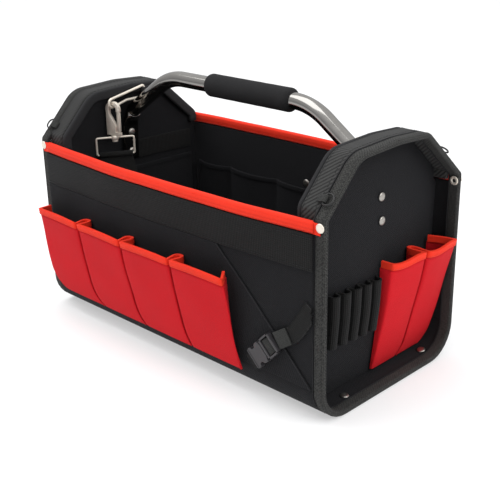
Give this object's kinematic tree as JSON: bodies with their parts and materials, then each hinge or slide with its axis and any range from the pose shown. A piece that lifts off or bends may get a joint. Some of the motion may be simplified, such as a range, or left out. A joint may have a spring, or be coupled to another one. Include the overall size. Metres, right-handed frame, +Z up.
{
  "type": "open top tool tote",
  "caption": "Open top tool bag with padded cloth walls, hooded ends, a steel tube handle with a foam grip, outer pockets, tool loops and a clipped carrying strap.",
  "frame": {"origin": "middle of the flat bottom", "axes": "+Z up, +X along the length towards the end with the tool loops, -Y towards the front with the pocket row"},
  "size_m": [0.5097, 0.2945, 0.3355],
  "materials": {
    "black_cloth": "matte woven",
    "webbing": "matte woven",
    "red_cloth": "matte woven",
    "red_tape": "matte woven tape",
    "plastic": "moulded",
    "foam": "matte foam",
    "steel": "plated",
    "nickel": "plated"
  },
  "bodies": {
    "tote": {"base_panel": "black_cloth", "front_panel": "black_cloth", "rim_binding_front": "red_tape", "top_strip_front": "webbing", "back_panel": "black_cloth", "rim_binding_back": "red_tape", "top_strip_back": "webbing", "front_layer": "black_cloth", "front_pocket_row": "red_cloth", "front_pocket_binding": "red_tape", "end_pocket": "red_cloth", "end_pocket_binding": "red_tape", "tool_loops": "webbing", "buckle_male": "plastic", "buckle_female": "plastic", "buckle_anchor": "webbing", "buckle_strap": "webbing", "strap_fold": "webbing", "inner_pocket_back": "black_cloth", "inner_pocket_left": "black_cloth", "inner_band_left": "webbing", "end_panel_right": "black_cloth", "edge_binding_right": "webbing", "hood_band_right": "black_cloth", "seam_roll_right": "black_cloth", "handle_rivet_upper_right": "nickel", "handle_rivet_lower_right": "nickel", "side_ring_near_right": "plastic", "side_tab_near_right": "webbing", "side_ring_far_right": "plastic", "side_tab_far_right": "webbing", "strap_ring_right": "nickel", "ring_tab_right": "webbing", "hook_body_right": "nickel", "hook_loop_right": "nickel", "end_panel_left": "black_cloth", "edge_binding_left": "webbing", "hood_band_left": "black_cloth", "seam_roll_left": "black_cloth", "handle_rivet_upper_left": "nickel", "handle_rivet_lower_left": "nickel", "side_ring_near_left": "plastic", "side_tab_near_left": "webbing", "side_ring_far_left": "plastic", "side_tab_far_left": "webbing", "strap_ring_left": "nickel", "ring_tab_left": "webbing", "hook_body_left": "nickel", "hook_loop_left": "nickel", "rim_rivet_front_left": "nickel", "rim_rivet_back_left": "nickel", "rim_rivet_front_right": "nickel", "rim_rivet_back_right": "nickel", "floor_rivet_near": "nickel", "floor_rivet_far": "nickel", "handle_tube": "steel", "handle_grip": "foam", "shoulder_strap": "webbing"},
    "gate_left": {"hook_gate_left": "nickel"},
    "gate_right": {"hook_gate_right": "nickel"}
  },
  "joints": [
    {"name": "gate_left_hinge", "type": "hinge", "parent": "tote", "child": "gate_left", "pos_m": [-0.19359, -0.0358, 0.24371], "axis": [0.2588, -0.9659, 0], "range_deg": [0, 20], "stiffness_Nm_per_rad": 0.02, "springref_deg": -20.05},
    {"name": "gate_right_hinge", "type": "hinge", "parent": "tote", "child": "gate_right", "pos_m": [0.19359, 0.0358, 0.24371], "axis": [-0.2588, 0.9659, 0], "range_deg": [0, 20], "stiffness_Nm_per_rad": 0.02, "springref_deg": -20.05}
  ]
}
